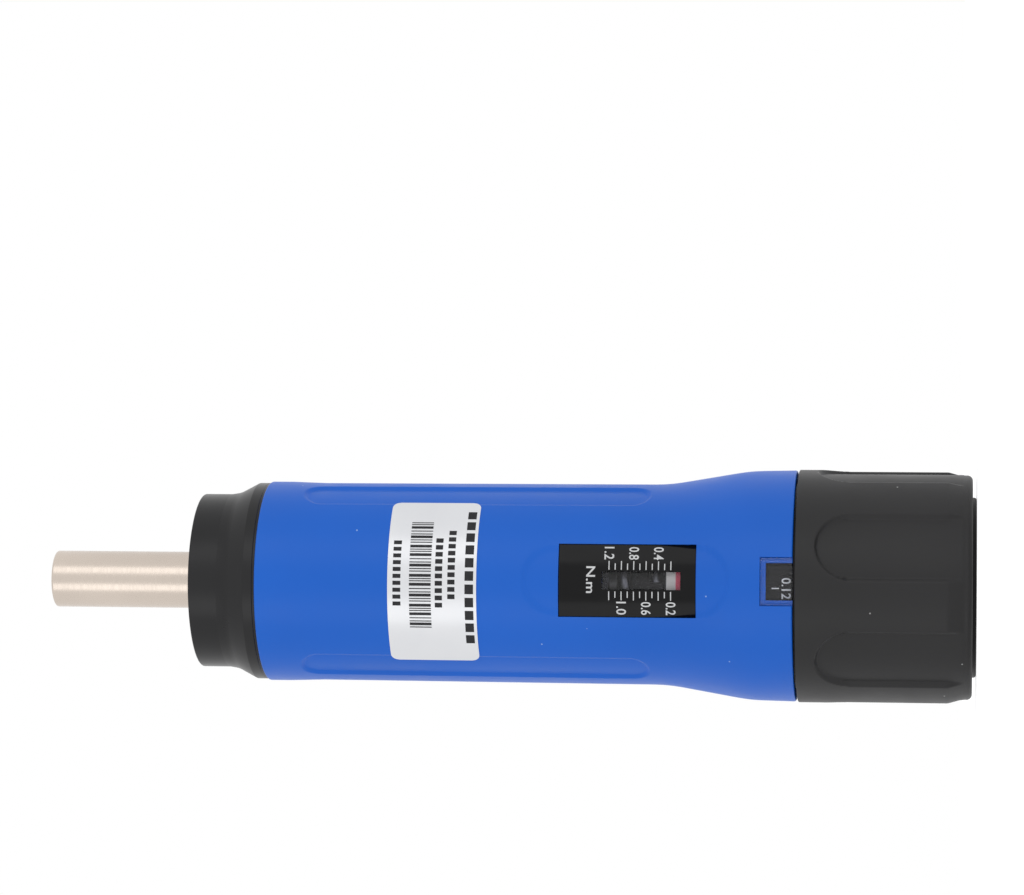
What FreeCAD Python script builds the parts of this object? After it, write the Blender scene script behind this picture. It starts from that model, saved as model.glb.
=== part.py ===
import FreeCAD, Part

import math
import os

# Preset torque screwdriver, in millimetres.
#
# The tool is round and would roll, so it stands on the flat end cap of its knob: +Z is up along its axis,
# from the end cap's face (Z = 0) to the mouth of the bit socket, and the scale window faces the front (-Y).
# Every piece is drawn lying down first: X is the tool's axis, from the mouth of the bit socket (X = 0) to
# the knob, the scale window is straight up, and angles round the axis are counted from the window
# towards +Y. At the end each piece is stood up.

Vector = FreeCAD.Vector
ORIGIN = Vector(0, 0, 0)
AXIS = Vector(1, 0, 0)

# Fits
running_gap = 0.04
slip_gap = 0.1

# Bit holder and its socket
shank_radius = 4.35
shank_reach = 23.4
shank_rounding = 0.35
journal_step = 0.35
journal_lead = 0.3
socket_across_flats = 6.4
socket_depth = 14.0
socket_lead_in = 0.4
magnet_radius = 2.5
magnet_length = 3.0
pilot_radius = 3.0
pilot_length = 8.5

# Front collar
collar_nose_drop = 1.76
collar_nose_length = 4.3
collar_cone_length = 4.4
collar_waist_drop = 0.25
collar_rim_drop = 0.22
collar_rim_length = 1.85
collar_edge = 0.3
collar_lip = 0.8
spigot_length = 3.0

# Front bush and thrust washer
bush_wall = 1.65
bush_flange_radius = 8.0
bush_flange_thickness = 1.5
thrust_washer_drop = 1.0
thrust_washer_thickness = 1.0

# Barrel, the metal tube inside the grip
barrel_bore_radius = 11.2
barrel_wall = 1.7

# Ball clutch
cam_gap = 0.7
cam_thickness = 5.0
cam_pin_radius = 1.0
ball_radius = 1.5
ball_count = 6
seat_count = 12
ball_circle_inset = 2.5
ball_seat_depth = 0.6
ball_grip = 0.5
clutch_plate_gap = 0.5
clutch_plate_thickness = 4.5
key_count = 3
key_width = 3.0
key_reach = 0.7
keyway_run = 1.5
spring_seat_gap = 1.0
spring_seat_thickness = 1.5

# Main spring
wire_radius = 1.1
coil_inset = 2.0
coil_pitch = 5.0

# Scale: how far its lowest mark is from the grip's rear edge, and how far the marks lie apart
lowest_mark_back = 18.13
lowest_torque = 0.2
highest_torque = 1.2
set_torque = 0.28
travel_per_newton_metre = 9.23

# Spring nut and its indicator flag
nut_gap = 0.3
nut_flange_front = 0.65
nut_spigot_gap = 0.7
nut_spigot_length = 7.5
flag_length = 2.57
flag_width = 5.0
flag_root = 2.9
flag_gap = 0.25

# Adjusting screw and the pieces that carry it
screw_radius = 4.0
screw_reach = 16.1316
shoulder_radius = 6.5
shoulder_thickness = 2.0
shoulder_margin = 0.3
screw_washer_radius = 8.0
screw_washer_thickness = 1.0
bulkhead_thickness = 5.3
bulkhead_pin_radius = 1.0
bulkhead_pin_length = 5.5
bulkhead_pin_count = 3
retaining_ring_radius = 6.0
retaining_ring_thickness = 0.8
retaining_groove_depth = 0.6
tail_across_flats = 6.9

# Grip: the blue moulded sleeve
grip_length = 81.05
grip_wall = 2.25
grip_lip = 0.17
grip_lip_length = 3.4
grip_neck_length = 8.5
grip_heel = 0.12
flare_start_back = 19.4
flare_end_back = 7.0
flare_height = 2.39
flare_rise = 0.14
grip_edge = 0.35
flare_rounding = 25.0
groove_front_margin = 6.05
groove_rear_margin = 21.6
groove_half_width = 2.85
groove_depth = 0.45
groove_draft = 0.35
groove_spacing = 60.0
rear_wall = 1.54
rear_cavity_margin = 0.6

# Label on the grip
label_margin = 20.35
label_length = 13.45
label_half_angle = 50.9
label_centre_angle = -1.2
label_thickness = 0.1
label_corner = 1.2

# Scale plate, its clear window and the shallow recess round it
plate_lead = 16.73
plate_length = 20.4
plate_half_width = 5.35
plate_gap = 1.2
plate_thickness = 1.0
recess_front_margin = 5.94
recess_rear_margin = 5.06
recess_depth = 0.25
slot_lead = 10.31
slot_tail = 1.43
slot_half_width = 1.33

# Small window over the knob's dial ring
lens_length = 4.7
lens_half_width = 3.5
lens_sink = 0.14
lens_thickness = 0.7
lens_ledge = 0.75

# Knob, dial ring and end cap
knob_gap = 0.5
knob_step = 0.1
knob_length = 25.9
knob_wall = 3.0
knob_front_edge = 0.35
bevel_length = 2.4
rim_step = 0.69
rim_length = 1.2
rim_rounding = 0.8
flute_count = 6
flute_half_width = 5.35
flute_depth = 0.64
flute_draft = 0.4
flute_first_angle = 18.0
flute_margin = 2.6
knob_spigot_length = 2.5
hub_wall = 2.7
hub_end_margin = 3.4
knob_shell = 4.64
knob_rib_thickness = 1.5
dial_gap = 0.25
dial_wall = 1.5
dial_shoulder = 2.25
dial_skirt = 3.7
cap_ledge = 0.6
cap_seat_depth = 1.8
cap_proud = 0.6
cap_edge = 0.4

# Lock spring and the screw that holds the knob on
lock_pocket_radius = 6.3
lock_pocket_floor = 11.0
lock_pocket_length = 9.5
lock_wire_radius = 0.5
lock_coil_radius = 5.0
lock_turns = 4.0
knob_washer_radius = 5.8
knob_washer_thickness = 1.0
knob_screw_radius = 1.5
knob_screw_length = 10.0
knob_screw_head_radius = 2.75
knob_screw_head_height = 1.8
knob_screw_key = 2.5
knob_screw_key_depth = 1.1

# Radii that follow from the ones above
journal_radius = shank_radius - journal_step
barrel_radius = barrel_bore_radius + barrel_wall
cam_radius = barrel_bore_radius - cam_gap
thrust_washer_radius = cam_radius - thrust_washer_drop
ball_circle_radius = cam_radius - ball_circle_inset
clutch_plate_radius = barrel_bore_radius - clutch_plate_gap
spring_seat_radius = barrel_bore_radius - spring_seat_gap
coil_radius = spring_seat_radius - coil_inset
nut_flange_radius = barrel_bore_radius - nut_gap
nut_spigot_radius = coil_radius - wire_radius - nut_spigot_gap
plate_bottom_radius = barrel_radius + plate_gap
plate_top_radius = plate_bottom_radius + plate_thickness
flag_bottom_radius = nut_flange_radius - flag_root
flag_top_radius = plate_bottom_radius - flag_gap
grip_neck_radius = barrel_radius + grip_wall
grip_lip_radius = grip_neck_radius + grip_lip
grip_heel_radius = grip_neck_radius + grip_heel
grip_rear_radius = grip_neck_radius + flare_height
collar_rim_radius = grip_lip_radius - collar_rim_drop
collar_nose_radius = collar_rim_radius - collar_nose_drop
flare_radius = grip_rear_radius - flare_rise
rear_cavity_radius = grip_rear_radius - rear_wall
lens_top_radius = grip_rear_radius - lens_sink
lens_bottom_radius = lens_top_radius - lens_thickness
knob_radius = grip_rear_radius + knob_step
rim_radius = knob_radius - rim_step
knob_cavity_radius = knob_radius - knob_shell
cap_radius = knob_cavity_radius + cap_ledge
dial_radius = rear_cavity_radius - dial_gap
knob_spigot_radius = dial_radius - dial_wall - dial_shoulder
hub_radius = lock_pocket_radius + hub_wall

# Stations along the axis
collar_front = shank_reach
cone_front = collar_front + collar_nose_length
rim_front = cone_front + collar_cone_length
grip_front = rim_front + collar_rim_length
grip_rear = grip_front + grip_length
spigot_end = grip_front + spigot_length
cam_front = spigot_end + thrust_washer_thickness
cam_rear = cam_front + cam_thickness
ball_x = cam_rear + ball_radius - ball_seat_depth
clutch_plate_front = ball_x + ball_grip
clutch_plate_rear = clutch_plate_front + clutch_plate_thickness
spring_front = clutch_plate_rear + spring_seat_thickness
lowest_mark = grip_rear - lowest_mark_back
flag_front = lowest_mark - (set_torque - lowest_torque) * travel_per_newton_metre
nut_front = flag_front - nut_flange_front
nut_rear = flag_front + flag_length
travel_up = (highest_torque - set_torque) * travel_per_newton_metre
travel_down = (set_torque - lowest_torque) * travel_per_newton_metre
shoulder_front = nut_rear + travel_down + shoulder_margin
shoulder_rear = shoulder_front + shoulder_thickness
bulkhead_front = shoulder_rear + screw_washer_thickness
bulkhead_rear = bulkhead_front + bulkhead_thickness
ring_front = bulkhead_rear + slip_gap
ring_rear = ring_front + retaining_ring_thickness
screw_tip = flag_front - screw_reach
flare_start = grip_rear - flare_start_back
flare_end = grip_rear - flare_end_back
groove_start = grip_front + groove_front_margin
groove_end = grip_rear - groove_rear_margin
label_front = grip_front + label_margin
plate_front = lowest_mark - plate_lead
plate_rear = plate_front + plate_length
recess_front = plate_front - recess_front_margin
recess_rear = plate_rear + recess_rear_margin
slot_front = lowest_mark - slot_lead
slot_rear = lowest_mark + slot_tail
lens_front = grip_rear - lens_length
knob_front = grip_rear + knob_gap
knob_rear = knob_front + knob_length
knob_spigot_front = knob_front - knob_spigot_length
cap_front = knob_rear - cap_seat_depth
lock_floor = knob_front + lock_pocket_floor
tail_end = lock_floor + lock_pocket_length
washer_rear = tail_end + knob_washer_thickness
tool_length = knob_rear + cap_proud
flag_slot_front = flag_front - travel_up - running_gap - 2 * slip_gap
flag_slot_rear = nut_rear + travel_down + 2 * slip_gap


def rounded_outline(corners):
    """Closed outline through (x, radius, rounding) corners; a corner with a rounding becomes a tangent arc."""
    count = len(corners)
    points = []
    for x, radius, rounding in corners:
        points.append(Vector(x, 0, radius))
    starts = []
    ends = []
    edges = []
    for index in range(count):
        here = points[index]
        into = (here - points[index - 1]).normalize()
        out = (points[(index + 1) % count] - here).normalize()
        rounding = corners[index][2]
        turn = into.getAngle(out)
        if rounding == 0 or turn < 1e-6:
            starts.append(here)
            ends.append(here)
            continue
        reach = rounding * math.tan(turn / 2)
        first = here - into * reach
        last = here + out * reach
        inward = (out - into).normalize()
        middle = here + inward * (rounding / math.cos(turn / 2) - rounding)
        edges.append(Part.Arc(first, middle, last).toShape())
        starts.append(first)
        ends.append(last)
    for index in range(count):
        if (starts[index] - ends[index - 1]).Length > 1e-7:
            edges.append(Part.LineSegment(ends[index - 1], starts[index]).toShape())
    return Part.Wire(Part.__sortEdges__(edges))


def turned(corners):
    """Solid of revolution round the tool's axis from a closed outline of (x, radius, rounding) corners."""
    return Part.Face(rounded_outline(corners)).revolve(ORIGIN, AXIS, 360)


def plain(points):
    """The same points with no rounding."""
    corners = []
    for x, radius in points:
        corners.append((x, radius, 0))
    return corners


def rod(front, rear, radius):
    return Part.makeCylinder(radius, rear - front, Vector(front, 0, 0), AXIS)


def tube(front, rear, inner, outer):
    return rod(front, rear, outer).cut(rod(front, rear, inner))


def block(front, rear, half_width, bottom, top):
    """Block over the window side: from radius bottom to radius top above the axis."""
    return Part.makeBox(rear - front, 2 * half_width, top - bottom, Vector(front, -half_width, bottom))


def turn(shape, angle):
    """Copy of a shape turned round the axis by an angle counted from the window towards +Y."""
    moved = shape.copy()
    moved.rotate(ORIGIN, AXIS, -angle)
    return moved


def hexagon(front, rear, across_flats):
    corner_radius = across_flats / math.sqrt(3)
    points = []
    for index in range(7):
        angle = math.radians(60 * index)
        points.append(Vector(front, corner_radius * math.cos(angle), corner_radius * math.sin(angle)))
    return Part.Face(Part.makePolygon(points)).extrude(Vector(rear - front, 0, 0))


def racetrack(front, rear, half_width, height):
    """Closed wire with round ends, lying level at a height above the axis."""
    near = front + half_width
    far = rear - half_width
    left = Vector(near, half_width, height)
    right = Vector(near, -half_width, height)
    far_right = Vector(far, -half_width, height)
    far_left = Vector(far, half_width, height)
    nose = Part.Arc(left, Vector(front, 0, height), right).toShape()
    tail = Part.Arc(far_right, Vector(rear, 0, height), far_left).toShape()
    side = Part.LineSegment(right, far_right).toShape()
    other_side = Part.LineSegment(far_left, left).toShape()
    return Part.Wire([nose, side, tail, other_side])


def drafted_racetrack(front, rear, half_width, draft, bottom, top):
    """Cutter with round ends whose walls lean outwards by the draft from its bottom to its top."""
    lower = racetrack(front + draft, rear - draft, half_width - draft, bottom)
    upper = racetrack(front, rear, half_width, top)
    return Part.makeLoft([lower, upper], True, True)


def coil(front, rear, radius, wire, pitch):
    """Round wire wound round the axis, ending under the window at its rear. Its path is made of equal
    stretches of helix, each about a quarter of a turn."""
    length = rear - front
    count = math.ceil(4 * length / pitch)
    stretches = []
    for index in range(count):
        stretch = Part.makeHelix(pitch, length / count, radius)
        stretch.rotate(ORIGIN, Vector(0, 0, 1), 360 * length / pitch * index / count)
        stretch.translate(Vector(0, 0, length * index / count))
        stretches.extend(stretch.Edges)
    profile = Part.Wire(Part.makeCircle(wire, Vector(radius, 0, 0), Vector(0, 1, 0)))
    solid = Part.Wire(stretches).makePipeShell([profile], True, True)
    solid.rotate(ORIGIN, Vector(0, 0, 1), -360 * length / pitch)
    solid.rotate(ORIGIN, Vector(0, 1, 0), 90)
    solid.rotate(ORIGIN, AXIS, 180)
    solid.translate(Vector(front, 0, 0))
    return solid


def grip_corners(offset, front, rear):
    """Outer line of the grip, moved outwards by an offset, between two stations."""
    stations = [
        (front, grip_lip_radius, 0),
        (grip_front + grip_lip_length, grip_lip_radius, 6.0),
        (grip_front + grip_neck_length, grip_neck_radius, 30.0),
        (flare_start, grip_heel_radius, flare_rounding),
        (flare_end, flare_radius, flare_rounding),
        (rear, grip_rear_radius, 0),
    ]
    corners = []
    for x, radius, rounding in stations:
        corners.append((x, radius + offset, rounding))
    return corners


def grip_skin(offset):
    """Solid bounded by the grip's outer line, moved by an offset."""
    corners = [(grip_front, 0, 0)]
    corners.extend(grip_corners(offset, grip_front, grip_rear))
    corners.append((grip_rear, 0, 0))
    return turned(corners)


def make_bit_holder():
    shank = turned([
        (0, 0, 0),
        (0, shank_radius, shank_rounding),
        (collar_front - journal_lead, shank_radius, 0),
        (collar_front - journal_lead, journal_radius, 0),
        (cam_rear, journal_radius, 0),
        (cam_rear, pilot_radius, 0),
        (cam_rear + pilot_length, pilot_radius, 0.4),
        (cam_rear + pilot_length, 0, 0),
    ])
    socket = hexagon(0, socket_depth, socket_across_flats)
    mouth_radius = socket_across_flats / math.sqrt(3)
    lead_in = Part.makeCone(mouth_radius, mouth_radius - socket_lead_in, socket_lead_in, ORIGIN, AXIS)
    magnet_pocket = rod(socket_depth, socket_depth + magnet_length, magnet_radius)
    pin_hole = rod(-cam_radius, cam_radius, cam_pin_radius)
    pin_hole.rotate(ORIGIN, Vector(0, 1, 0), 90)
    pin_hole.translate(Vector(cam_front + cam_thickness / 2, 0, 0))
    return shank.cut(socket).cut(lead_in).cut(magnet_pocket).cut(pin_hole)


def make_cam_pin():
    pin = rod(-cam_radius + slip_gap, cam_radius - slip_gap, cam_pin_radius)
    pin.rotate(ORIGIN, Vector(0, 1, 0), 90)
    pin.translate(Vector(cam_front + cam_thickness / 2, 0, 0))
    return pin


def clutch_balls(radius, count):
    """Balls evenly spaced on the ball circle, as a list."""
    balls = []
    for index in range(count):
        ball = Part.makeSphere(radius, Vector(ball_x, 0, ball_circle_radius))
        balls.append(turn(ball, 360 / count * index + 180 / seat_count))
    return balls


def make_clutch_cam():
    cam = tube(cam_front, cam_rear, journal_radius, cam_radius)
    pin_hole = rod(-2 * cam_radius, 2 * cam_radius, cam_pin_radius)
    pin_hole.rotate(ORIGIN, Vector(0, 1, 0), 90)
    pin_hole.translate(Vector(cam_front + cam_thickness / 2, 0, 0))
    seats = Part.makeCompound(clutch_balls(ball_radius + running_gap, seat_count))
    return cam.cut(pin_hole).cut(seats)


def make_front_collar():
    outer = turned([
        (collar_front, 0, 0),
        (collar_front, collar_nose_radius, collar_edge),
        (cone_front, collar_nose_radius, 0),
        (cone_front + collar_cone_length * 0.35, collar_nose_radius + collar_waist_drop, 3.0),
        (rim_front, collar_rim_radius, 0.5),
        (grip_front, collar_rim_radius, 0),
        (grip_front, barrel_bore_radius, 0),
        (spigot_end, barrel_bore_radius, 0),
        (spigot_end, 0, 0),
    ])
    mouth = rod(collar_front, collar_front + collar_lip, journal_radius + slip_gap)
    bush_bore = rod(collar_front + collar_lip, spigot_end, journal_radius + bush_wall)
    flange_seat = rod(spigot_end - bush_flange_thickness, spigot_end, bush_flange_radius)
    return outer.cut(mouth).cut(bush_bore).cut(flange_seat)


def make_front_bush():
    inner = journal_radius + running_gap
    outer = journal_radius + bush_wall
    flange_front = spigot_end - bush_flange_thickness
    return turned(plain([
        (collar_front + collar_lip, inner),
        (collar_front + collar_lip, outer),
        (flange_front, outer),
        (flange_front, bush_flange_radius),
        (spigot_end, bush_flange_radius),
        (spigot_end, inner),
    ]))


def make_thrust_washer():
    return tube(spigot_end, cam_front, journal_radius + slip_gap, thrust_washer_radius)


def make_barrel():
    body = tube(grip_front, bulkhead_rear, barrel_bore_radius, barrel_radius)
    keyway_front = clutch_plate_front - keyway_run
    keyway_rear = clutch_plate_rear + keyway_run
    for index in range(key_count):
        width = key_width / 2 + running_gap
        reach = clutch_plate_radius + 2 * key_reach
        keyway = block(keyway_front, keyway_rear, width, clutch_plate_radius - 1, reach)
        body = body.cut(turn(keyway, 180 + 360 / key_count * index))
    flag_slot = block(flag_slot_front, flag_slot_rear, flag_width / 2 + slip_gap, 0, barrel_radius + 1)
    return body.cut(flag_slot).cut(bulkhead_pins())


def make_clutch_plate():
    plate = tube(clutch_plate_front, clutch_plate_rear, pilot_radius + running_gap, clutch_plate_radius)
    for index in range(key_count):
        top = clutch_plate_radius + 2 * key_reach - slip_gap
        key = block(clutch_plate_front, clutch_plate_rear, key_width / 2, clutch_plate_radius - 1, top)
        plate = plate.fuse(turn(key, 180 + 360 / key_count * index))
    seats = Part.makeCompound(clutch_balls(ball_radius, ball_count))
    return plate.removeSplitter().cut(seats)


def make_clutch_balls():
    return Part.makeCompound(clutch_balls(ball_radius, ball_count))


def make_spring_seat():
    inner = pilot_radius + 1
    return tube(clutch_plate_rear, spring_front, inner, spring_seat_radius)


def make_main_spring():
    return coil(spring_front + wire_radius, nut_front - wire_radius, coil_radius, wire_radius, coil_pitch)


def make_spring_nut():
    nut = turned([
        (nut_front - nut_spigot_length, screw_radius + running_gap, 0),
        (nut_front - nut_spigot_length, nut_spigot_radius, 0.6),
        (nut_front, nut_spigot_radius, 0),
        (nut_front, nut_flange_radius, 0.3),
        (nut_rear, nut_flange_radius, 0.3),
        (nut_rear, screw_radius + running_gap, 0),
    ])
    seat = block(flag_front, nut_rear, flag_width / 2, flag_bottom_radius, nut_flange_radius + 1)
    return nut.cut(seat)


def make_indicator_flag():
    flag = block(flag_front, nut_rear, flag_width / 2, flag_bottom_radius, flag_top_radius + 1)
    return flag.common(rod(flag_front, nut_rear, flag_top_radius))


def make_adjusting_screw():
    groove = screw_radius - retaining_groove_depth
    shaft = turned([
        (screw_tip, 0, 0),
        (screw_tip, screw_radius, 0.5),
        (shoulder_front, screw_radius, 0),
        (shoulder_front, shoulder_radius, 0),
        (shoulder_rear, shoulder_radius, 0),
        (shoulder_rear, screw_radius, 0),
        (ring_front, screw_radius, 0),
        (ring_front, groove, 0),
        (ring_rear, groove, 0),
        (ring_rear, screw_radius, 0),
        (ring_rear + 1, screw_radius, 0),
        (ring_rear + 1, 0, 0),
    ])
    tail = hexagon(ring_rear + 1, tail_end, tail_across_flats)
    thread = rod(tail_end - knob_screw_length, tail_end, knob_screw_radius)
    return shaft.fuse(tail).cut(thread)


def make_screw_washer():
    return tube(shoulder_rear, bulkhead_front, screw_radius + slip_gap, screw_washer_radius)


def bulkhead_pins():
    """Radial pins through the barrel's rear end, as one compound."""
    pins = []
    for index in range(bulkhead_pin_count):
        centre = Vector((bulkhead_front + bulkhead_rear) / 2, 0, barrel_radius - bulkhead_pin_length)
        pin = Part.makeCylinder(bulkhead_pin_radius, bulkhead_pin_length, centre, Vector(0, 0, 1))
        flush = pin.common(rod(bulkhead_front, bulkhead_rear, barrel_radius))
        pins.append(turn(flush, 60 + 360 / bulkhead_pin_count * index))
    return Part.makeCompound(pins)


def make_rear_bulkhead():
    body = tube(bulkhead_front, bulkhead_rear, screw_radius + running_gap, barrel_bore_radius)
    return body.cut(bulkhead_pins())


def make_retaining_ring():
    ring = tube(ring_front, ring_rear, screw_radius - retaining_groove_depth, retaining_ring_radius)
    mouth = block(ring_front, ring_rear, screw_radius - 1, 0, retaining_ring_radius + 1)
    return ring.cut(mouth)


def make_grip():
    body = grip_skin(0)
    core = grip_skin(-groove_depth)
    top = grip_lip_radius + 1
    bottom = grip_neck_radius - groove_depth - 1
    grooves = []
    for index in range(1, round(360 / groove_spacing)):
        cutter = drafted_racetrack(
            groove_start, groove_end, groove_half_width + groove_draft, groove_draft * 2, bottom, top
        )
        grooves.append(turn(cutter, groove_spacing * index))
    body = body.cut(Part.makeCompound(grooves).cut(core))
    recess = Part.Face(racetrack(recess_front, recess_rear, plate_half_width, plate_bottom_radius))
    recess_cutter = recess.extrude(Vector(0, 0, 2 * grip_rear_radius)).cut(grip_skin(-recess_depth))
    body = body.cut(recess_cutter)
    cavity_front = bulkhead_rear + rear_cavity_margin
    body = body.cut(rod(grip_front, grip_rear, barrel_radius))
    body = body.cut(rod(cavity_front, grip_rear, rear_cavity_radius))
    plate_room = block(
        plate_front - slip_gap, plate_rear + slip_gap, plate_half_width + slip_gap / 2, 0, 2 * grip_rear_radius
    )
    plate_seat = plate_room.cut(rod(grip_front, grip_rear, plate_bottom_radius))
    flag_room = block(slot_front - slip_gap, flag_slot_rear, flag_width / 2 + slip_gap, 0, grip_lip_radius)
    lens_room = block(
        lens_front - slip_gap / 2, grip_rear, lens_half_width + slip_gap / 2, 0, 2 * grip_rear_radius
    )
    lens_seat = lens_room.cut(rod(grip_front, grip_rear, lens_bottom_radius))
    lens_hole = block(lens_front + lens_ledge, grip_rear, lens_half_width - lens_ledge, 0, grip_rear_radius)
    return body.cut(plate_seat).cut(flag_room).cut(lens_seat).cut(lens_hole)


def make_label():
    outer = grip_skin(label_thickness).cut(grip_skin(0))
    span = rod(label_front, label_front + label_length, 2 * grip_lip_radius)
    band = outer.common(span)
    wedge_corners = [Vector(label_front, 0, 0)]
    reach = 3 * grip_lip_radius
    for angle in (-label_half_angle, 0, label_half_angle):
        radians = math.radians(angle)
        wedge_corners.append(Vector(label_front, reach * math.sin(radians), reach * math.cos(radians)))
    wedge_corners.append(wedge_corners[0])
    wedge = Part.Face(Part.makePolygon(wedge_corners)).extrude(Vector(label_length, 0, 0))
    label = band.common(wedge)
    corners = []
    for edge in label.Edges:
        if edge.Length < 2 * label_thickness:
            corners.append(edge)
    return turn(label.makeFillet(label_corner, corners), label_centre_angle)


def scale_slot():
    return block(slot_front, slot_rear, slot_half_width, 0, 2 * plate_top_radius)


def make_scale_plate():
    shell = tube(plate_front, plate_rear, plate_bottom_radius, plate_top_radius)
    return shell.common(block(plate_front, plate_rear, plate_half_width, 0, plate_top_radius)).cut(scale_slot())


def make_scale_window():
    return tube(slot_front, slot_rear, plate_bottom_radius, plate_top_radius).common(scale_slot())


def make_dial_lens():
    shell = tube(lens_front, grip_rear, lens_bottom_radius, lens_top_radius)
    return shell.common(block(lens_front, grip_rear, lens_half_width, 0, lens_top_radius))


def make_dial_ring():
    return turned(plain([
        (knob_front, knob_spigot_radius),
        (knob_front, dial_radius),
        (knob_spigot_front - dial_skirt, dial_radius),
        (knob_spigot_front - dial_skirt, dial_radius - dial_wall),
        (knob_spigot_front, dial_radius - dial_wall),
        (knob_spigot_front, knob_spigot_radius),
    ]))


def make_knob():
    bevel_front = knob_rear - rim_length - bevel_length
    body = turned([
        (knob_spigot_front, 0, 0),
        (knob_spigot_front, knob_spigot_radius, 0),
        (knob_front, knob_spigot_radius, 0),
        (knob_front, knob_radius, knob_front_edge),
        (bevel_front, knob_radius, 1.0),
        (knob_rear - rim_length, rim_radius, 1.0),
        (knob_rear, rim_radius, rim_rounding),
        (knob_rear, 0, 0),
    ])
    core = rod(knob_spigot_front, knob_rear, knob_radius - flute_depth)
    flutes = []
    for index in range(flute_count):
        cutter = drafted_racetrack(
            knob_front + flute_margin,
            knob_rear + 3 * flute_half_width,
            flute_half_width,
            flute_draft,
            knob_radius - 4 * flute_depth,
            knob_radius + flute_depth,
        )
        flutes.append(turn(cutter, flute_first_angle + 360 / flute_count * index))
    body = body.cut(Part.makeCompound(flutes).cut(core))
    hub_end = knob_rear - hub_end_margin
    cavity = tube(knob_front + knob_wall, hub_end, hub_radius, knob_cavity_radius)
    ribs = []
    for index in range(flute_count):
        rib = block(knob_front, hub_end, knob_rib_thickness / 2, hub_radius - 1, knob_cavity_radius + 1)
        ribs.append(turn(rib, flute_first_angle + 360 / flute_count * (index + 0.5)))
    cavity = cavity.cut(Part.makeCompound(ribs))
    bore = hexagon(knob_spigot_front, lock_floor, tail_across_flats + slip_gap)
    pocket = rod(lock_floor, knob_rear, lock_pocket_radius)
    behind_hub = rod(hub_end, knob_rear, knob_cavity_radius)
    cap_seat = rod(cap_front, knob_rear, cap_radius)
    return body.cut(cavity).cut(bore).cut(pocket).cut(behind_hub).cut(cap_seat)


def make_end_cap():
    return turned([
        (cap_front, 0, 0),
        (cap_front, cap_radius, 0),
        (knob_rear + cap_proud, cap_radius, cap_edge),
        (knob_rear + cap_proud, 0, 0),
    ])


def make_lock_spring():
    front = lock_floor + lock_wire_radius
    rear = tail_end - lock_wire_radius
    return coil(front, rear, lock_coil_radius, lock_wire_radius, (rear - front) / lock_turns)


def make_knob_washer():
    return tube(tail_end, washer_rear, knob_screw_radius + slip_gap, knob_washer_radius)


def make_knob_screw():
    head_rear = washer_rear + knob_screw_head_height
    body = turned([
        (tail_end - knob_screw_length + 1, 0, 0),
        (tail_end - knob_screw_length + 1, knob_screw_radius, 0.3),
        (washer_rear, knob_screw_radius, 0),
        (washer_rear, knob_screw_head_radius, 0),
        (head_rear, knob_screw_head_radius, 0.3),
        (head_rear, 0, 0),
    ])
    return body.cut(hexagon(head_rear - knob_screw_key_depth, head_rear, knob_screw_key))


def stand(shape):
    """Copy of a shape stood on the end cap, with the window to the front."""
    stood = shape.copy()
    stood.rotate(ORIGIN, Vector(0, 1, 0), 90)
    stood.rotate(ORIGIN, Vector(0, 0, 1), -90)
    stood.translate(Vector(0, 0, tool_length))
    return stood


def make_magnet():
    return rod(socket_depth, socket_depth + magnet_length, magnet_radius)


pieces = {
    "bit_holder": make_bit_holder(),
    "bit_magnet": make_magnet(),
    "clutch_cam": make_clutch_cam(),
    "cam_pin": make_cam_pin(),
    "front_collar": make_front_collar(),
    "front_bush": make_front_bush(),
    "thrust_washer": make_thrust_washer(),
    "barrel": make_barrel(),
    "clutch_plate": make_clutch_plate(),
    "clutch_balls": make_clutch_balls(),
    "spring_seat": make_spring_seat(),
    "main_spring": make_main_spring(),
    "spring_nut": make_spring_nut(),
    "indicator_flag": make_indicator_flag(),
    "adjusting_screw": make_adjusting_screw(),
    "screw_washer": make_screw_washer(),
    "rear_bulkhead": make_rear_bulkhead(),
    "bulkhead_pins": bulkhead_pins(),
    "retaining_ring": make_retaining_ring(),
    "grip": make_grip(),
    "label": make_label(),
    "scale_plate": make_scale_plate(),
    "scale_window": make_scale_window(),
    "dial_lens": make_dial_lens(),
    "dial_ring": make_dial_ring(),
    "knob": make_knob(),
    "end_cap": make_end_cap(),
    "lock_spring": make_lock_spring(),
    "knob_washer": make_knob_washer(),
    "knob_screw": make_knob_screw(),
}

os.makedirs("parts", exist_ok=True)
for name, shape in pieces.items():
    stood = stand(shape)
    stood.exportStep("parts/" + name + ".step")
    print(name, len(stood.Solids), round(stood.Volume, 2), stood.isValid())
print("screw range in degrees", -360 * travel_down / (travel_per_newton_metre * 0.2),
      360 * travel_up / (travel_per_newton_metre * 0.2), "nut travel", travel_down, travel_up)
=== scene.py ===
import math

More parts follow.
